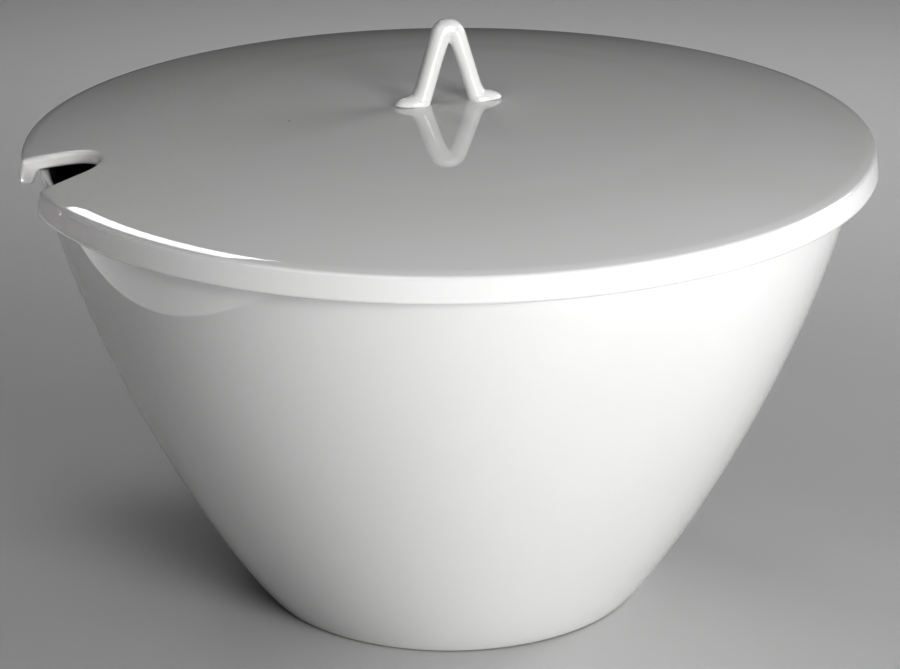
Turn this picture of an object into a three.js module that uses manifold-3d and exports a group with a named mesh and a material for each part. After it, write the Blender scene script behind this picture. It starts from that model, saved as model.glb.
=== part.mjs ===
import * as THREE from 'three';
import { mergeVertices } from 'three/addons/utils/BufferGeometryUtils.js';
import Module from 'manifold-3d';

// Soup tureen with a lift-off lid, in glazed porcelain. Millimetres, +Z up, with the origin
// on the table under the middle of the foot. The ladle notch opens towards -X and the handle
// stands along X.

// Bowl
const rimHeight = 140.9;
const rimRadius = 123.6;       // outside of the wall at the rim
const rimWall = 2.9;
const rimLean = 9;             // degrees from upright, at the rim
const rimPull = 49.5;          // how strongly the wall keeps its lean below the rim
const footRadius = 60;         // outside of the wall at the table
const footWall = 5;            // wall just above the foot
const footLean = 40;           // degrees from upright, at the foot
const footPull = 30;           // how strongly the wall keeps its lean above the foot
const footRingWidth = 6.5;     // flat, unglazed face that stands on the table
const footRecess = 3;          // hollow of the underside inside the foot ring
const recessSlope = 2;         // run of the foot ring's inner side
const floorThickness = 5;
const floorSweep = 14;         // height over which the wall sweeps into the floor

// Lid
const seatGap = 0.3;           // between the lid's underside and the rim that carries it
const lidPlay = 2.2;           // room between the rim and the inside of the skirt
const lidPlate = 4.2;          // thickness of the domed plate
const lidRise = 10.4;          // dome above its edge
const edgeFall = 11;           // degrees that the dome slopes at its edge
const edgeRadius = 1.3;        // round from the dome into the skirt
const skirtWall = 4.2;
const skirtLap = 4.7;          // how far the skirt hangs below the top of the rim
const skirtDraft = 1;          // how much wider the skirt is at its foot
const skirtRound = 1.3;        // both edges of the skirt's foot
const skirtFillet = 2;         // inside, between the plate and the skirt

// Ladle notch in the lid
const notchDepth = 22.8;       // in from the foot of the skirt
const notchEndRadius = 10.2;
const notchFlare = 22.5;       // degrees that each side opens outwards
const notchCorner = 4;         // eased edge where the notch runs out through the skirt

// Handle
const joinGap = 0.3;           // between the handle's feet and the lid they are luted to
const handleHeight = 25.9;     // above the middle of the lid
const handleSpread = 18.2;     // between the legs, measured at the lid
const rodWidth = 5.2;          // across a leg, seen from the side
const rodDepth = 5.7;          // across a leg, seen along X
const crownBend = 2.9;         // bend of the rod's middle line at the top
const crownThickness = 7.7;    // clay gathers inside the bend
const toeReach = 7.8;          // from the middle of a leg to the tip of its foot
const heelReach = 2.5;         // from the middle of a leg to its heel
const soleHalfWidth = 3.4;
const instep = 3.3;            // height of a foot

// Fineness of the round surfaces
const turnSegments = 64;
const wallSteps = 12;
const roundSteps = 5;
const domeSteps = 10;
const notchSteps = 8;          // to each half turn
const rodSides = 8;            // to each half turn
const rodSteps = 36;
const soleSegments = 20;
const soleRings = 12;
const weld = 1e-4;
const cutMargin = 2;           // a cut runs this far past the faces that it opens

const degrees = THREE.MathUtils.degToRad;
const glaze = { color: 0xf2f2f0, roughness: 0.12, metalness: 0 };

const wasm = await Module();
wasm.setup();

function toSolid(geometry) {
  const bare = geometry.clone();
  bare.deleteAttribute('normal');
  bare.deleteAttribute('uv');
  const welded = mergeVertices(bare, weld);
  const corners = welded.index.array;
  const triangles = [];
  for (let i = 0; i < corners.length; i += 3) {
    const [a, b, c] = corners.subarray(i, i + 3);
    if (a !== b && b !== c && c !== a) triangles.push(a, b, c);
  }
  return new wasm.Manifold(new wasm.Mesh({
    numProp: 3,
    vertProperties: new Float32Array(welded.attributes.position.array),
    triVerts: new Uint32Array(triangles),
  }));
}

function toGeometry(solid) {
  const mesh = solid.getMesh();
  const geometry = new THREE.BufferGeometry();
  geometry.setAttribute('position', new THREE.BufferAttribute(mesh.vertProperties, 3));
  geometry.setIndex(new THREE.BufferAttribute(mesh.triVerts, 1));
  geometry.computeVertexNormals();
  return geometry;
}

// Turns a profile of (radius, height) points about the upright axis.
function turned(profile) {
  return new THREE.LatheGeometry(profile, turnSegments).rotateX(Math.PI / 2);
}

// Points of a round from one angle to another, in degrees anticlockwise from +radius.
function roundPoints(centre, radius, from, to) {
  const points = [];
  for (let i = 0; i <= roundSteps; i += 1) {
    const angle = degrees(THREE.MathUtils.lerp(from, to, i / roundSteps));
    points.push(new THREE.Vector2(Math.cos(angle), Math.sin(angle)).multiplyScalar(radius).add(centre));
  }
  return points;
}

// A softened corner, which leaves along its first side and arrives along its second.
function sweepPoints(from, corner, to) {
  return new THREE.QuadraticBezierCurve(from, corner, to).getPoints(roundSteps);
}

// Unit direction (radius, height) that leans outwards by an angle from upright.
function leaning(angle) {
  return new THREE.Vector2(Math.sin(degrees(angle)), Math.cos(degrees(angle)));
}

// Bowl: one curve is the outside of the wall, and the inside lies square to it.
const rimRound = rimWall / 2;
const rimCentre = new THREE.Vector2(rimRadius - rimRound, rimHeight - rimRound);

function wallCurve() {
  const foot = new THREE.Vector2(footRadius, 0);
  const [rim] = roundPoints(rimCentre, rimRound, -rimLean, 0);
  return new THREE.CubicBezierCurve(
    foot,
    foot.clone().addScaledVector(leaning(footLean), footPull),
    rim.clone().addScaledVector(leaning(rimLean), -rimPull),
    rim,
  );
}

function insideWall(curve) {
  const points = [];
  for (let i = 0; i <= wallSteps; i += 1) {
    const t = 1 - i / wallSteps;
    const tangent = curve.getTangent(t);
    const inwards = new THREE.Vector2(-tangent.y, tangent.x);
    points.push(curve.getPoint(t).addScaledVector(inwards, THREE.MathUtils.lerp(footWall, rimWall, t)));
  }
  return points;
}

function makeBowl() {
  const curve = wallCurve();
  const floor = footRecess + floorThickness;
  const inside = insideWall(curve).filter((point) => point.y > floor + floorSweep);
  const last = inside.pop();
  const along = last.clone().sub(inside.at(-1)).normalize();
  const reach = (last.y - floor) / -along.y;
  const corner = last.clone().addScaledVector(along, reach);
  const floorEdge = new THREE.Vector2(corner.x - reach, floor);
  const ringInside = footRadius - footRingWidth;

  return turned([
    new THREE.Vector2(0, footRecess),
    new THREE.Vector2(ringInside - recessSlope, footRecess),
    new THREE.Vector2(ringInside, 0),
    ...curve.getPoints(wallSteps).slice(0, -1),
    ...roundPoints(rimCentre, rimRound, -rimLean, 180 - rimLean).slice(0, -1),
    ...inside,
    ...sweepPoints(last, corner, floorEdge),
    new THREE.Vector2(0, floor),
  ]);
}

// Lid: its width and its height come from the rim that carries it.
const skirtInside = rimRadius + lidPlay;
const skirtRadius = skirtInside + skirtWall;
const crownRadius = skirtRadius - skirtDraft - edgeRadius * (1 - Math.sin(degrees(edgeFall)));
const crownPower = Math.tan(degrees(edgeFall)) * crownRadius / lidRise;

// Height of the dome above its own edge.
function domeAt(radius) {
  return lidRise * (1 - (radius / crownRadius) ** crownPower);
}

const lidEdge = rimHeight + seatGap + lidPlate - domeAt(rimCentre.x);
const lidTop = lidEdge + lidRise;
const skirtFoot = rimHeight - skirtLap;

// Points of the dome from one radius to another, lowered by a thickness.
function domePoints(from, to, lowered) {
  const points = [];
  for (let i = 0; i <= domeSteps; i += 1) {
    const radius = THREE.MathUtils.lerp(from, to, i / domeSteps);
    points.push(new THREE.Vector2(radius, lidEdge + domeAt(radius) - lowered));
  }
  return points;
}

function makeLidBlank() {
  const edgeCentre = new THREE.Vector2(crownRadius, lidEdge).addScaledVector(leaning(edgeFall), -edgeRadius);
  const footHeight = skirtFoot + skirtRound;
  const footInside = new THREE.Vector2(skirtInside + skirtRound, footHeight);
  const footOutside = new THREE.Vector2(skirtRadius - skirtRound, footHeight);
  const plateUnder = lidEdge + domeAt(skirtInside - skirtFillet) - lidPlate;
  const fillet = Math.min(skirtFillet, plateUnder - footHeight);

  return turned([
    ...domePoints(0, skirtInside - skirtFillet, lidPlate).slice(0, -1),
    ...sweepPoints(
      new THREE.Vector2(skirtInside - skirtFillet, plateUnder),
      new THREE.Vector2(skirtInside, plateUnder),
      new THREE.Vector2(skirtInside, plateUnder - fillet),
    ),
    ...roundPoints(footInside, skirtRound, 180, 270),
    ...roundPoints(footOutside, skirtRound, 270, 360),
    ...roundPoints(edgeCentre, edgeRadius, 0, 90 - edgeFall).slice(0, -1),
    ...domePoints(crownRadius, 0, 0),
  ]);
}

// The notch seen from above, first drawn as opening along +X: a round end whose flared sides
// run out through the skirt with eased corners.
function makeNotch() {
  const endCentre = skirtRadius - notchDepth + notchEndRadius;
  const flare = degrees(notchFlare);
  const side = new THREE.Vector2(Math.cos(flare), Math.sin(flare));
  const start = new THREE.Vector2(-side.y, side.x).multiplyScalar(notchEndRadius);
  start.x += endCentre;
  const backwards = start.dot(side);
  const run = Math.sqrt(backwards ** 2 + skirtRadius ** 2 - start.lengthSq()) - backwards;
  const edge = start.clone().addScaledVector(side, run);
  const aroundSkirt = new THREE.Vector2(-edge.y, edge.x).normalize();
  const easing = aroundSkirt.add(side).setLength(notchCorner);
  const cornerIn = edge.clone().addScaledVector(side, -notchCorner);
  const cornerOut = edge.clone().add(easing);
  const mouth = skirtRadius + notchCorner + cutMargin;

  const outline = new THREE.Shape();
  outline.moveTo(mouth, -cornerOut.y);
  outline.lineTo(cornerOut.x, -cornerOut.y);
  outline.quadraticCurveTo(edge.x, -edge.y, cornerIn.x, -cornerIn.y);
  outline.lineTo(start.x, -start.y);
  outline.absarc(endCentre, 0, notchEndRadius, -Math.PI / 2 - flare, Math.PI / 2 + flare, true);
  outline.lineTo(cornerIn.x, cornerIn.y);
  outline.quadraticCurveTo(edge.x, edge.y, cornerOut.x, cornerOut.y);
  outline.lineTo(mouth, cornerOut.y);

  const height = lidTop - skirtFoot + 2 * cutMargin;
  return new THREE.ExtrudeGeometry(outline, { depth: height, bevelEnabled: false, curveSegments: notchSteps })
    .rotateZ(Math.PI)
    .translate(0, 0, skirtFoot - cutMargin);
}

function makeLid() {
  return toGeometry(toSolid(makeLidBlank()).subtract(toSolid(makeNotch())));
}

// Handle: a rod bent over in the middle. Heights here are measured from the top of the lid.
function makeRod() {
  const foot = handleSpread / 2;
  const bendHeight = handleHeight - rodWidth / 2 - crownBend;
  const legLean = Math.atan2(foot, bendHeight) - Math.asin(crownBend / Math.hypot(foot, bendHeight));
  const lean = THREE.MathUtils.radToDeg(legLean);
  const bend = roundPoints(new THREE.Vector2(0, bendHeight), crownBend, lean, 180 - lean);
  const below = new THREE.Vector2(foot, 0).addScaledVector(leaning(-lean), -rodWidth);
  const middle = new THREE.Vector2(foot, 0).lerp(bend[0], 0.5);
  const half = [below, middle];
  const mirrored = half.toReversed().map((point) => new THREE.Vector2(-point.x, point.y));
  const line = [...half, ...bend, ...mirrored].map((point) => new THREE.Vector3(point.x, 0, point.y));

  const section = new THREE.Shape();
  section.absellipse(0, 0, rodDepth / 2, rodWidth / 2, 0, 2 * Math.PI);
  return new THREE.ExtrudeGeometry(section, {
    steps: rodSteps,
    curveSegments: rodSides,
    extrudePath: new THREE.CatmullRomCurve3(line, false, 'centripetal'),
  });
}

// A foot pressed out flat: short at the heel, long and narrowing towards the toe.
function makeFoot(direction) {
  const foot = new THREE.SphereGeometry(1, soleSegments, soleRings);
  const points = foot.attributes.position;
  for (let i = 0; i < points.count; i += 1) {
    const along = points.getX(i);
    const reach = along * direction > 0 ? toeReach : heelReach;
    points.setXYZ(i, along * reach, points.getY(i) * soleHalfWidth, points.getZ(i) * instep);
  }
  return foot.translate(direction * handleSpread / 2, 0, 0);
}

function makeHandle() {
  const gathered = new THREE.SphereGeometry(rodWidth / 2, soleSegments, soleRings)
    .translate(0, 0, handleHeight - crownThickness + rodWidth / 2);
  const reach = handleSpread + 2 * toeReach + 2 * cutMargin;
  const depth = 2 * rodWidth + cutMargin;
  const under = new THREE.BoxGeometry(reach, reach, depth).translate(0, 0, joinGap - depth / 2);
  const solid = toSolid(makeRod())
    .add(toSolid(gathered))
    .add(toSolid(makeFoot(1)))
    .add(toSolid(makeFoot(-1)))
    .subtract(toSolid(under));
  return toGeometry(solid);
}

function piece(name, geometry) {
  const mesh = new THREE.Mesh(geometry, new THREE.MeshStandardMaterial(glaze));
  mesh.name = name;
  return mesh;
}

const bowl = piece('bowl', makeBowl());
const lid = piece('lid', makeLid());
const handle = piece('handle', makeHandle());
handle.position.z = lidTop;

const tureen = new THREE.Group();
tureen.add(bowl, lid, handle);

export default tureen;
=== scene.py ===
import math

import bmesh
import bpy
from mathutils import Matrix, Vector
from mathutils.geometry import interpolate_bezier


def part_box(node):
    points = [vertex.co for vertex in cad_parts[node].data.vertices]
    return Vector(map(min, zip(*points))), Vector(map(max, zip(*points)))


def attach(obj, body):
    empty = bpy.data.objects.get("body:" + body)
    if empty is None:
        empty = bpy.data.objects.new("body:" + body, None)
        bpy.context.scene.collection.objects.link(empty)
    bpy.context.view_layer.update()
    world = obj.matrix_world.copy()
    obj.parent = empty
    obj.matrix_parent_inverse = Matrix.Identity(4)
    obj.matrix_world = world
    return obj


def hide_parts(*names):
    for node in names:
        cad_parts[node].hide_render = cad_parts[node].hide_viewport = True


# Soup tureen with a lift-off lid in white glazed porcelain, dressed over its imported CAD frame.
# Pieces are drawn in millimetres and brought to metres when their mesh is made.
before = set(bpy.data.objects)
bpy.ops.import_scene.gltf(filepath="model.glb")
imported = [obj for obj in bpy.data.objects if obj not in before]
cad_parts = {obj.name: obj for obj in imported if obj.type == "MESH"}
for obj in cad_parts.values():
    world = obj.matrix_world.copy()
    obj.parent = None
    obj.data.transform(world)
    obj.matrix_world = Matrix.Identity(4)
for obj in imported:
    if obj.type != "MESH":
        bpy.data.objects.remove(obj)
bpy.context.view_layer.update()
mm = 0.001
weldGap = 1e-3                # points closer than this are one
print("frame loaded:", ", ".join(sorted(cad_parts)))


def boxOf(node):
    low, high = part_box(node)
    return low / mm, high / mm


def makePiece(name, bm):
    bmesh.ops.scale(bm, vec=(mm, mm, mm), verts=bm.verts)
    mesh = bpy.data.meshes.new(name)
    bm.to_mesh(mesh)
    bm.free()
    mesh.shade_smooth()
    piece = bpy.data.objects.new(name, mesh)
    bpy.context.scene.collection.objects.link(piece)
    return piece


def mix(a, b, share):
    return a + (b - a) * share


# pulls a new ring out of the edges and puts each of its vertices where place says for its column
def growRing(bm, edges, place):
    column = bm.verts.layers.int["column"]
    grown = bmesh.ops.extrude_edge_only(bm, edges=edges)["geom"]
    for vert in (g for g in grown if isinstance(g, bmesh.types.BMVert)):
        vert.co = place(vert[column])
    return [g for g in grown if isinstance(g, bmesh.types.BMEdge)]


# a ring whose vertices carry their number, put where place says
def startRing(bm, columns, place):
    column = bm.verts.layers.int.get("column") or bm.verts.layers.int.new("column")
    ring = bmesh.ops.create_circle(bm, segments=columns, radius=1)["verts"]
    for i, vert in enumerate(ring):
        vert[column] = i
        vert.co = place(i)
    return list(dict.fromkeys(edge for vert in ring for edge in vert.link_edges))


# Colours are written as sRGB and turned to linear
def toLinear(hexColour):
    channels = [int(hexColour[i:i + 2], 16) / 255 for i in (1, 3, 5)]
    return (*[c / 12.92 if c <= 0.04045 else ((c + 0.055) / 1.055) ** 2.4 for c in channels], 1)


# adds a node with its settings: a socket given as a value is linked, anything else is set
def addNode(tree, kind, sockets, **settings):
    node = tree.nodes.new(kind)
    for name, value in settings.items():
        setattr(node, name, value)
    for socket, value in sockets.items():
        if isinstance(value, bpy.types.NodeSocket):
            tree.links.new(value, node.inputs[socket])
        else:
            node.inputs[socket].default_value = value
    return node


def startMaterial(name):
    material = bpy.data.materials.new(name)
    material.use_nodes = True
    material.node_tree.nodes.clear()
    return material, material.node_tree


# Hard porcelain under a clear fired glaze: white, wet-looking and mirror smooth, with the slow
# ripple of melted glass, a tone that hardly drifts, and here and there a pinhole or an iron speck.
glaze = {
    "body": "#f4f4f4",
    "drifted": "#eeeeed",
    "speck": "#a8a49e",
    "ior": 1.52,
    "roughness": (0.008, 0.022),
    "driftSize": 70.0,        # cloudy drift in tone
    "rippleSize": 13.0,       # slow ripple of the glaze
    "rippleDepth": 0.004,
    "speckSpacing": 30.0,
    "speckSize": 0.5,         # drawn a little over life size, so that it shows
    "speckCore": 0.4,         # share of it that is fully dark
    "speckShare": 0.4,        # of the places that could hold one
    "pinholeDepth": 0.03,
}


def glazedHardPorcelain():
    material, tree = startMaterial("glazed hard porcelain")
    place = addNode(tree, "ShaderNodeTexCoord", {}).outputs["Object"]
    drift = addNode(tree, "ShaderNodeTexNoise",
                    {"Vector": place, "Scale": 1 / (glaze["driftSize"] * mm), "Detail": 2.0})
    cells = addNode(tree, "ShaderNodeTexVoronoi",
                    {"Vector": place, "Scale": 1 / (glaze["speckSpacing"] * mm)})
    reach = glaze["speckSize"] / glaze["speckSpacing"]
    spot = addNode(tree, "ShaderNodeMapRange",
                   {"Value": cells.outputs["Distance"], "From Min": reach,
                    "From Max": glaze["speckCore"] * reach})
    lot = addNode(tree, "ShaderNodeSeparateColor", {"Color": cells.outputs["Color"]})
    held = addNode(tree, "ShaderNodeMath", {0: lot.outputs["Red"], 1: glaze["speckShare"]},
                   operation="LESS_THAN")
    speck = addNode(tree, "ShaderNodeMath", {0: spot.outputs["Result"], 1: held.outputs["Value"]},
                    operation="MULTIPLY")
    tone = addNode(tree, "ShaderNodeMix",
                   {"Factor": drift.outputs["Fac"], "A": toLinear(glaze["body"]),
                    "B": toLinear(glaze["drifted"])}, data_type="RGBA")
    colour = addNode(tree, "ShaderNodeMix",
                     {"Factor": speck.outputs["Value"], "A": tone.outputs["Result"],
                      "B": toLinear(glaze["speck"])}, data_type="RGBA")
    ripple = addNode(tree, "ShaderNodeTexNoise",
                     {"Vector": place, "Scale": 1 / (glaze["rippleSize"] * mm), "Detail": 1.0})
    gloss = addNode(tree, "ShaderNodeMapRange",
                    {"Value": drift.outputs["Fac"], "To Min": glaze["roughness"][0],
                     "To Max": glaze["roughness"][1]})
    waves = addNode(tree, "ShaderNodeBump",
                    {"Height": ripple.outputs["Fac"], "Strength": 1.0,
                     "Distance": glaze["rippleDepth"] * mm})
    pits = addNode(tree, "ShaderNodeBump",
                   {"Height": speck.outputs["Value"], "Strength": 1.0,
                    "Distance": glaze["pinholeDepth"] * mm, "Normal": waves.outputs["Normal"]}, invert=True)
    shader = addNode(tree, "ShaderNodeBsdfPrincipled",
                     {"Base Color": colour.outputs["Result"], "Roughness": gloss.outputs["Result"],
                      "IOR": glaze["ior"], "Normal": pits.outputs["Normal"]})
    addNode(tree, "ShaderNodeOutputMaterial", {"Surface": shader.outputs["BSDF"]})
    return material


# Porcelain wiped free of glaze and ground flat where it stood in the kiln: chalky and matt, a
# shade warmer than the glaze, with a fine grit that years of tables have greyed.
biscuit = {
    "clean": "#e2ddd3",
    "worn": "#c2bbb0",
    "roughness": 0.8,
    "wearSize": 9.0,
    "gritSize": 0.6,          # drawn coarser than the real grit, so that it shows
    "gritDepth": 0.02,
}


def bareBiscuitPorcelain():
    material, tree = startMaterial("bare biscuit porcelain")
    place = addNode(tree, "ShaderNodeTexCoord", {}).outputs["Object"]
    wear = addNode(tree, "ShaderNodeTexNoise",
                   {"Vector": place, "Scale": 1 / (biscuit["wearSize"] * mm), "Detail": 4.0})
    grit = addNode(tree, "ShaderNodeTexNoise",
                   {"Vector": place, "Scale": 1 / (biscuit["gritSize"] * mm), "Detail": 2.0})
    colour = addNode(tree, "ShaderNodeMix",
                     {"Factor": wear.outputs["Fac"], "A": toLinear(biscuit["clean"]),
                      "B": toLinear(biscuit["worn"])}, data_type="RGBA")
    grain = addNode(tree, "ShaderNodeBump",
                    {"Height": grit.outputs["Fac"], "Strength": 1.0, "Distance": biscuit["gritDepth"] * mm})
    shader = addNode(tree, "ShaderNodeBsdfPrincipled",
                     {"Base Color": colour.outputs["Result"], "Roughness": biscuit["roughness"],
                      "Normal": grain.outputs["Normal"]})
    addNode(tree, "ShaderNodeOutputMaterial", {"Surface": shader.outputs["BSDF"]})
    return material


glazed = glazedHardPorcelain()
bare = bareBiscuitPorcelain()
print("materials made:", glazed.name, "and", bare.name)


# Bowl: its section is drawn, the corners are eased and it is spun
bowlHigh = boxOf("bowl")[1]
bowl = {
    "rimRadius": bowlHigh.x,
    "rimHeight": bowlHigh.z,
    "rimWall": 2.9,
    "rimLean": 9.0,           # degrees from upright
    "rimPull": 51.2,          # how far down the wall keeps that lean
    "rimRound": 1.3,
    "footRadius": 60.0,
    "footWall": 5.0,
    "footLean": 40.0,
    "footPull": 30.0,
    "ringWidth": 6.5,         # bare face that stands on the table
    "ringEdge": 0.7,
    "recess": 3.0,            # hollow under the floor
    "recessSlope": 2.0,
    "recessSweep": 1.6,
    "floorThickness": 5.0,
    "floorSweep": 14.0,
    "wallSteps": 44,
    "cornerSteps": 7,
    "turnSteps": 160,
}


def leaning(angle):
    return Vector((math.sin(math.radians(angle)), 0, math.cos(math.radians(angle))))


def bowlSection():
    foot = Vector((bowl["footRadius"], 0, 0))
    rim = Vector((bowl["rimRadius"], 0, bowl["rimHeight"]))
    wall = interpolate_bezier(foot, foot + leaning(bowl["footLean"]) * bowl["footPull"],
                              rim - leaning(bowl["rimLean"]) * bowl["rimPull"], rim, bowl["wallSteps"])
    floor = bowl["recess"] + bowl["floorThickness"]
    inside = []
    for i in range(len(wall) - 2, 0, -1):
        along = (wall[i + 1] - wall[i - 1]).normalized()
        inwards = Vector((-along.z, 0, along.x))
        thickness = mix(bowl["footWall"], bowl["rimWall"], i / (len(wall) - 1))
        inside.append(wall[i] + inwards * thickness)
    inside = [point for point in inside if point.z > floor + bowl["floorSweep"]]
    down = (inside[-1] - inside[-2]).normalized()
    corner = inside[-1] + down * ((floor - inside[-1].z) / down.z)
    rimInside = rim.x - bowl["rimWall"] / math.cos(math.radians(bowl["rimLean"]))
    ringInside = bowl["footRadius"] - bowl["ringWidth"]
    return [
        (0, bowl["recess"]),
        (ringInside - bowl["recessSlope"], bowl["recess"], bowl["recessSweep"]),
        (ringInside, 0, bowl["ringEdge"]),
        (foot.x, 0, bowl["ringEdge"]),
        *[(point.x, point.z) for point in wall[1:-1]],
        (rim.x, rim.z, bowl["rimRound"]),
        (rimInside, rim.z, bowl["rimRound"]),
        *[(point.x, point.z) for point in inside],
        (corner.x, floor, bowl["floorSweep"]),
        (0, floor),
    ]


def makeBowl():
    bm = bmesh.new()
    section = bowlSection()
    line = [bm.verts.new((point[0], 0, point[1])) for point in section]
    for a, b in zip(line, line[1:]):
        bm.edges.new((a, b))
    for vert, point in zip(line, section):
        if len(point) == 3:
            bmesh.ops.bevel(bm, geom=[vert], offset=point[2], offset_type="OFFSET", affect="VERTICES",
                            segments=bowl["cornerSteps"], profile=0.5, material=-1)
    bmesh.ops.spin(bm, geom=bm.verts[:] + bm.edges[:], cent=(0, 0, 0), axis=(0, 0, 1),
                   angle=math.tau, steps=bowl["turnSteps"], use_merge=True)
    bmesh.ops.remove_doubles(bm, verts=bm.verts, dist=weldGap)
    bmesh.ops.recalc_face_normals(bm, faces=bm.faces)
    for face in bm.faces:
        if max(vert.co.z for vert in face.verts) < bowl["ringEdge"] / 2:
            face.material_index = 1
    piece = makePiece("bowl_porcelain", bm)
    piece.data.materials.append(glazed)
    piece.data.materials.append(bare)
    return piece


bowlPiece = makeBowl()
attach(bowlPiece, "bowl")
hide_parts("bowl")
print("bowl made:", len(bowlPiece.data.polygons), "faces")


# Lid: the plate's two faces and the skirt's section are grown ring by ring, the cut of the notch is
# bridged and every free edge is rounded. It is worked with the notch towards +X and then turned.
lidLow, lidHigh = boxOf("lid")
lid = {
    "top": lidHigh.z,
    "skirtFoot": lidLow.z,
    "skirtRadius": lidHigh.y,
    "skirtDraft": 1.0,
    "skirtWall": 4.2,
    "skirtFillet": 2.0,
    "plate": 4.2,
    "rise": 10.4,
    "edgeFall": 11.0,         # degrees that the dome slopes at its edge
    "shoulderWidth": 3.2,     # it rolls off a little more just inside the edge
    "shoulderDrop": 0.21,
    "edgeRadius": 1.3,
    "bendRows": 6,
    "notchDepth": 22.8,
    "notchEnd": 10.2,         # radius of its round end
    "notchFlare": 22.5,       # degrees that each side opens
    "softEdge": 1.4,          # rounding of the free edges
    "softFrom": 40.0,         # degrees that such an edge turns at least
    "softSteps": 4,
    "softBands": (1.8, 2.6, 3.6),  # first rings inside an edge
    "turnColumns": 144,
    "notchColumns": 32,
    "fan": 12.0,              # degrees each side over which the columns fan out from the notch
    "plateRows": 5,
    "plateRings": (95, 89, 85, 81, 77, 73, 68, 54, 38, 22, 8, 0),
    "grooveRadius": 81.0,     # faint ring that the turning left
    "grooveWidth": 6.0,
    "grooveDepth": 0.06,
    "smoothing": 1,
}
edgeFall = math.radians(lid["edgeFall"])
flare = math.radians(lid["notchFlare"])
crownRadius = lid["skirtRadius"] - lid["skirtDraft"] - lid["edgeRadius"] * (1 - math.sin(edgeFall))
crownPower = math.tan(edgeFall) * crownRadius / lid["rise"]
notchCentre = Vector((lid["skirtRadius"] - lid["notchDepth"] + lid["notchEnd"], 0))
sideWay = Vector((math.cos(flare), math.sin(flare)))


def domeHeight(radius):
    groove = math.exp(-((radius - lid["grooveRadius"]) / lid["grooveWidth"]) ** 2)
    shoulder = max(0, 1 - (crownRadius - radius) / lid["shoulderWidth"]) ** 2
    fall = lid["rise"] * (radius / crownRadius) ** crownPower
    return lid["top"] - fall - lid["grooveDepth"] * groove - lid["shoulderDrop"] * shoulder


def aroundLid(angle, radius):
    return Vector((math.cos(angle), math.sin(angle))) * radius


# a side of the notch with a round end of this radius: its start there, and its run out to the edge
def notchSide(end, radius):
    start = notchCentre + Vector((-sideWay.y, sideWay.x)) * end
    back = start.dot(sideWay)
    return start, math.sqrt(back ** 2 + radius ** 2 - start.length_squared) - back


# a point of the notch, across going from -1 to 1 between the corners of its mouth
def alongNotch(across, end, radius):
    start, run = notchSide(end, radius)
    bend = end * (math.pi / 2 - flare)
    way = abs(across) * (bend + run)
    point = start + sideWay * (way - bend)
    if way < bend:
        point = notchCentre + aroundLid(math.pi - way / end, end)
    return Vector((point.x, point.y * math.copysign(1, across)))


# columns up to turnColumns stand round the lid, and the rest follow the notch from side to side
def edgePlan(column, radius, inset=0):
    turn = lid["turnColumns"]
    end = lid["notchEnd"] + inset
    if column > turn:
        return alongNotch(2 * (column - turn) / lid["notchColumns"] - 1, end, radius - inset)
    corner = alongNotch(1, end, radius - inset)
    mouth = math.atan2(corner.y, corner.x)
    return aroundLid(mix(mouth, math.tau - mouth, column / turn), radius - inset)


def discPlan(column, radius):
    turn = lid["turnColumns"]
    fan = math.radians(lid["fan"])
    if column <= turn:
        return aroundLid(mix(fan, math.tau - fan, column / turn), radius)
    return aroundLid(mix(-fan, fan, (column - turn) / lid["notchColumns"]), radius)


# one face of the plate, from its edge to the middle
def growPlate(bm, radius, drop):
    def lifted(plan):
        return Vector((plan.x, plan.y, domeHeight(plan.length) - drop))

    def row(share):
        outer = lid["plateRings"][0]
        return lambda i: lifted(mix(edgePlan(i, radius, lid["softBands"][-1]), discPlan(i, outer), share))

    edge = startRing(bm, lid["turnColumns"] + lid["notchColumns"], lambda i: lifted(edgePlan(i, radius)))
    ring = edge
    for band in lid["softBands"][:-1]:
        ring = growRing(bm, ring, lambda i: lifted(edgePlan(i, radius, band)))
    for i in range(lid["plateRows"]):
        ring = growRing(bm, ring, row(i / lid["plateRows"]))
    for disc in lid["plateRings"]:
        ring = growRing(bm, ring, lambda i: lifted(discPlan(i, disc)))
    return edge


# radius and height of the skirt's section, from the dome's edge down, round the foot and up inside
def skirtSection():
    rows = lid["bendRows"]
    shoulderFall = math.atan(2 * lid["shoulderDrop"] / lid["shoulderWidth"])
    turns = [mix(math.pi / 2 - edgeFall - shoulderFall, 0, i / rows) for i in range(rows + 1)]
    crown = Vector((crownRadius, domeHeight(crownRadius))) - aroundLid(turns[0], lid["edgeRadius"])
    outside = [crown + aroundLid(turn, lid["edgeRadius"]) for turn in turns[1:]]
    foot = Vector((lid["skirtRadius"], lid["skirtFoot"]))
    footInside = foot - Vector((lid["skirtWall"], 0))
    armpit = Vector((outside[-1].x - lid["skirtWall"] - lid["skirtFillet"], 0))
    top = armpit + aroundLid(turns[0], lid["skirtFillet"])
    armpit.y = domeHeight(top.x) - lid["plate"] - top.y
    inside = [armpit + aroundLid(turn, lid["skirtFillet"]) for turn in reversed(turns)]
    return [*outside, mix(outside[-1], foot, 0.5), foot,
            footInside, mix(footInside, inside[0], 0.5), *inside]


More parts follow.
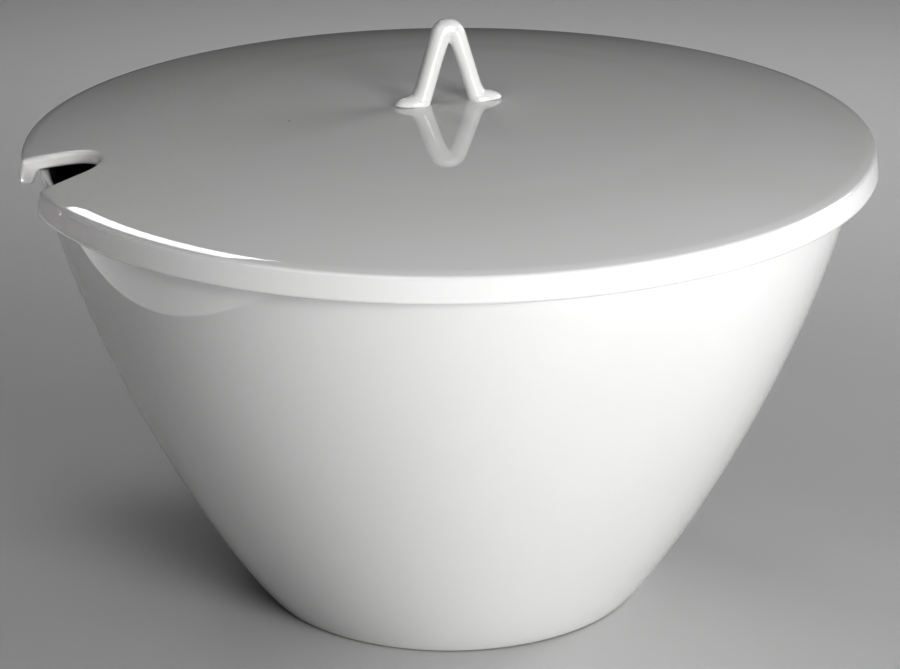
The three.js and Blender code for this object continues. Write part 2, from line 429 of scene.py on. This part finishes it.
def makeLid():
    bm = bmesh.new()
    turn = lid["turnColumns"]
    section = skirtSection()
    skirt = growPlate(bm, crownRadius, 0)
    growPlate(bm, section[-1].x, lid["plate"])
    column = bm.verts.layers.int["column"]
    skirt = [edge for edge in skirt if max(vert[column] for vert in edge.verts) <= turn
             and abs(edge.verts[0][column] - edge.verts[1][column]) == 1]
    for point in section:
        skirt = growRing(bm, skirt, lambda i: Vector((*edgePlan(i, point.x), point.y)))
    bmesh.ops.remove_doubles(bm, verts=bm.verts, dist=weldGap)
    cut = [edge for edge in bm.edges if edge.is_boundary
           and max(vert.co.z for vert in edge.verts) > lid["skirtFoot"] + weldGap]
    bmesh.ops.bridge_loops(bm, edges=cut)
    bmesh.ops.recalc_face_normals(bm, faces=bm.faces)
    sharp = [edge for edge in bm.edges if edge.calc_face_angle(0) > math.radians(lid["softFrom"])]
    bmesh.ops.bevel(bm, geom=sharp, offset=lid["softEdge"], offset_type="OFFSET", affect="EDGES",
                    segments=lid["softSteps"], profile=0.5, material=-1)
    bmesh.ops.rotate(bm, cent=(0, 0, 0), matrix=Matrix.Rotation(math.pi, 3, "Z"), verts=bm.verts)
    piece = makePiece("lid_porcelain", bm)
    piece.data.materials.append(glazed)
    soft = piece.modifiers.new("softened", "SUBSURF")
    soft.levels = lid["smoothing"]
    soft.render_levels = lid["smoothing"]
    return piece


lidPiece = makeLid()
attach(lidPiece, "lid")
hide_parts("lid")
print("lid made:", len(lidPiece.data.polygons), "faces before smoothing")


# Handle: a rod bent over, with two pressed-out feet, melted into one by the glaze
handleHigh = boxOf("handle")[1]
meltLoss = 0.1                # height that the melting takes off the bend
handle = {
    "seat": lidHigh.z,
    "height": handleHigh.z - lidHigh.z + meltLoss,
    "spread": 18.2,           # between the legs at the lid
    "rodWidth": 5.3,
    "rodDepth": 5.8,
    "fullLeg": 0.7,           # extra on the inside of the leg next to the notch
    "crownBend": 2.9,         # of the rod's middle line
    "gathered": 0.7,          # clay that gathers inside the bend
    "gatherFrom": 14.0,       # below the top
    "ankle": 1.5,             # clay that spreads to the toe
    "ankleHeight": 5.5,
    "toeReach": 7.9,
    "toeTaper": 0.25,
    "toeBlunt": 0.7,          # below 1 the toe ends fuller
    "heelReach": 2.5,
    "soleHalfWidth": 3.5,
    "soleEdge": 0.4,          # its rounded lower edge
    "instep": 3.2,
    "sunk": 0.2,              # set into the lid's glaze
    "rodColumns": 24,
    "bendRows": 14,
    "legRows": 14,
    "footColumns": 32,
    "footRows": 20,
    "voxel": 0.28,
    "meltSteps": 12,
    "meltFactor": 0.5,
}


# stations of the rod: its middle line and direction in the plane of the handle, and the half
# widths inside and outside
def rodStations():
    half = handle["rodWidth"] / 2
    foot = Vector((handle["spread"] / 2, 0))
    bendHeight = handle["height"] - half - handle["crownBend"]
    lean = math.atan2(foot.x, bendHeight) - math.asin(handle["crownBend"] / math.hypot(foot.x, bendHeight))
    bendStart = Vector((0, bendHeight)) + aroundLid(lean, handle["crownBend"])
    up = Vector((-math.sin(lean), math.cos(lean)))
    leg = [(mix(foot - up * handle["rodWidth"], bendStart, i / handle["legRows"]), up)
           for i in range(handle["legRows"])]
    bend = []
    for i in range(handle["bendRows"] + 1):
        turn = mix(lean, math.pi - lean, i / handle["bendRows"])
        bend.append((Vector((0, bendHeight)) + aroundLid(turn, handle["crownBend"]),
                     aroundLid(turn + math.pi / 2, 1)))
    other = [(Vector((-middle.x, middle.y)), Vector((way.x, -way.y))) for middle, way in reversed(leg)]
    stations = []
    for middle, way in leg + bend + other:
        rise = (middle.y - handle["height"] + handle["gatherFrom"]) / (handle["gatherFrom"] - half)
        fall = 1 - max(0, middle.y) / handle["ankleHeight"]
        over = min(1, max(0, 0.5 - middle.x / handle["rodWidth"]))
        inner = half + handle["gathered"] * max(0, rise) ** 2 + handle["fullLeg"] * over
        outer = half + handle["ankle"] * max(0, fall) ** 2
        stations.append((middle, way, inner, outer))
    return stations


def rodRing(middle, way, inner, outer):
    outwards = Vector((way.y, -way.x))

    def place(column):
        turn = math.tau * column / handle["rodColumns"]
        aside = outwards * math.cos(turn) * (outer if math.cos(turn) > 0 else inner)
        return Vector((middle.x + aside.x, math.sin(turn) * handle["rodDepth"] / 2, middle.y + aside.y))
    return place


def addFoot(bm, side):
    foot = bmesh.ops.create_uvsphere(bm, u_segments=handle["footColumns"], v_segments=handle["footRows"],
                                     radius=1)["verts"]
    toe = [vert for vert in foot if vert.co.x > 0]
    heel = [vert for vert in foot if vert.co.x <= 0]
    sole = [vert for vert in foot if vert.co.z < 0]
    upper = [vert for vert in foot if vert.co.z >= 0]
    for vert in toe:
        vert.co.x **= handle["toeBlunt"]
        vert.co.z *= 1 - handle["toeTaper"] * vert.co.x
    bmesh.ops.scale(bm, vec=(handle["toeReach"], handle["soleHalfWidth"], 1), verts=toe)
    bmesh.ops.scale(bm, vec=(handle["heelReach"], handle["soleHalfWidth"], 1), verts=heel)
    bmesh.ops.scale(bm, vec=(1, 1, handle["soleEdge"]), verts=sole)
    bmesh.ops.scale(bm, vec=(1, 1, handle["instep"]), verts=upper)
    bmesh.ops.translate(bm, vec=(handle["spread"] / 2, 0, handle["soleEdge"] - handle["sunk"]), verts=foot)
    bmesh.ops.scale(bm, vec=(side, 1, 1), verts=foot)


def makeHandle():
    bm = bmesh.new()
    stations = rodStations()
    ring = startRing(bm, handle["rodColumns"], rodRing(*stations[0]))
    bmesh.ops.edgeloop_fill(bm, edges=ring)
    for station in stations[1:]:
        ring = growRing(bm, ring, rodRing(*station))
    bmesh.ops.edgeloop_fill(bm, edges=ring)
    addFoot(bm, 1)
    addFoot(bm, -1)
    bmesh.ops.translate(bm, vec=(0, 0, handle["seat"]), verts=bm.verts)
    bmesh.ops.recalc_face_normals(bm, faces=bm.faces)
    clay = makePiece("handle_clay", bm)
    joined = clay.modifiers.new("joined", "REMESH")
    joined.mode = "VOXEL"
    joined.voxel_size = handle["voxel"] * mm
    melted = clay.modifiers.new("melted", "SMOOTH")
    melted.factor = handle["meltFactor"]
    melted.iterations = handle["meltSteps"]
    bm = bmesh.new()
    bm.from_object(clay, bpy.context.evaluated_depsgraph_get())
    bpy.data.objects.remove(clay)
    bmesh.ops.scale(bm, vec=(1 / mm, 1 / mm, 1 / mm), verts=bm.verts)
    cut = bmesh.ops.bisect_plane(bm, geom=bm.verts[:] + bm.edges[:] + bm.faces[:], plane_no=(0, 0, 1),
                                 plane_co=(0, 0, handle["seat"] - handle["sunk"]), clear_inner=True)
    bmesh.ops.holes_fill(bm, edges=[g for g in cut["geom_cut"] if isinstance(g, bmesh.types.BMEdge)])
    bmesh.ops.recalc_face_normals(bm, faces=bm.faces)
    piece = makePiece("handle_porcelain", bm)
    piece.data.materials.append(glazed)
    return piece


handlePiece = makeHandle()
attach(handlePiece, "lid")
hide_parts("handle")
print("handle made:", len(handlePiece.data.polygons), "faces")


# Camera where the picture was taken from, in degrees and millimetres
camera = {
    "azimuth": -16.6,
    "elevation": 20.56,
    "distance": 933.4,
    "aimHeight": 79.6,
    "roll": -0.43,
    "lens": 120.0,
    "sensor": 36.0,
}


def standing(azimuth, elevation, distance):
    turn, rise = math.radians(azimuth), math.radians(elevation)
    away = Vector((math.sin(turn) * math.cos(rise), -math.cos(turn) * math.cos(rise), math.sin(rise)))
    return away * distance * mm


# turned to look back along its azimuth and elevation, then rolled
def facing(stand):
    turn = Matrix.Rotation(math.radians(stand["azimuth"]), 4, "Z")
    tip = Matrix.Rotation(math.radians(90 - stand["elevation"]), 4, "X")
    return turn @ tip @ Matrix.Rotation(math.radians(stand["roll"]), 4, "Z")


def makeCamera():
    eye = bpy.data.cameras.new("camera")
    eye.lens = camera["lens"]
    eye.sensor_width = camera["sensor"]
    eye.sensor_fit = "HORIZONTAL"
    place = bpy.data.objects.new("camera", eye)
    bpy.context.scene.collection.objects.link(place)
    away = standing(camera["azimuth"], camera["elevation"], camera["distance"])
    place.matrix_world = Matrix.Translation(away + Vector((0, 0, camera["aimHeight"] * mm))) @ facing(camera)
    bpy.context.scene.camera = place


makeCamera()

# Floor and soft studio light, in degrees, millimetres and watts
floor = {"side": 8000.0, "drop": 0.1, "paper": "#d3d3d3", "roughness": 0.9}
studio = {"ambient": 0.04, "gamma": 0.667}  # below 1 the gamma deepens the contrast
softbox = {                   # what a light has where its own entry says nothing else
    "aim": (0, 0, 90),
    "distance": 1000.0,
    "roll": 0.0,
    "width": 400.0,
    "height": 400.0,
    "spread": 180.0,
}
lights = {
    "key": {"azimuth": 14.0, "elevation": 13.5, "power": 7.4},
    "fill": {"azimuth": -48.0, "elevation": 48.0, "distance": 600.0, "power": 0.78},
    "side": {"azimuth": 95.0, "elevation": 22.0, "power": 3.4},
    # its mirror image is the bright strip along the edge of the lid
    "back": {"azimuth": -173.0, "elevation": 39.9, "distance": 1210.0, "roll": 12.2,
             "width": 140.0, "height": 405.0, "power": 1.05},
    # lifts the far half of the lid
    "top": {"aim": (0, 0, 150), "azimuth": -140.0, "elevation": 68.0, "distance": 600.0,
            "width": 300.0, "height": 300.0, "power": 0.32},
    # gridded, for the cut of the notch
    "notch": {"aim": (-121, 5, 153), "azimuth": -36.0, "elevation": 8.0, "distance": 700.0,
              "width": 60.0, "height": 30.0, "power": 0.0034, "spread": 8.0},
    # keeps the floor pale behind the bowl
    "ground": {"aim": (155, 520, 0), "azimuth": camera["azimuth"], "elevation": 90.0, "distance": 900.0,
               "width": 900.0, "height": 500.0, "power": 0.7, "spread": 60.0},
    # lies on the floor facing up, and shows in the bowl's wall as the pale patch under the skirt
    "low strip": {"aim": (-267, 80, 1000), "azimuth": 0.0, "elevation": -90.0, "distance": 999.0,
                  "width": 72.0, "height": 440.0, "power": 0.1},
}


def makeFloor():
    bm = bmesh.new()
    bmesh.ops.create_grid(bm, x_segments=1, y_segments=1, size=floor["side"] / 2)
    bmesh.ops.translate(bm, vec=(0, 0, -floor["drop"]), verts=bm.verts)
    piece = makePiece("floor", bm)
    material, tree = startMaterial("matt paper")
    shader = addNode(tree, "ShaderNodeBsdfPrincipled",
                     {"Base Color": toLinear(floor["paper"]), "Roughness": floor["roughness"]})
    addNode(tree, "ShaderNodeOutputMaterial", {"Surface": shader.outputs["BSDF"]})
    piece.data.materials.append(material)


def makeLights():
    for name, own in lights.items():
        light = softbox | own
        lamp = bpy.data.lights.new(name, "AREA")
        lamp.shape = "RECTANGLE"
        lamp.size = light["width"] * mm
        lamp.size_y = light["height"] * mm
        lamp.energy = light["power"]
        lamp.spread = math.radians(light["spread"])
        place = bpy.data.objects.new(name, lamp)
        bpy.context.scene.collection.objects.link(place)
        away = standing(light["azimuth"], light["elevation"], light["distance"])
        place.matrix_world = Matrix.Translation(Vector(light["aim"]) * mm + away) @ facing(light)
        place.visible_camera = False


def makeWorld():
    world = bpy.data.worlds.new("studio")
    bpy.context.scene.world = world
    world.use_nodes = True
    grey = studio["ambient"]
    world.node_tree.nodes["Background"].inputs["Color"].default_value = (grey, grey, grey, 1)
    bpy.context.scene.view_settings.view_transform = "Standard"
    bpy.context.scene.view_settings.gamma = studio["gamma"]


makeFloor()
makeLights()
makeWorld()
print("camera, floor and lights set")
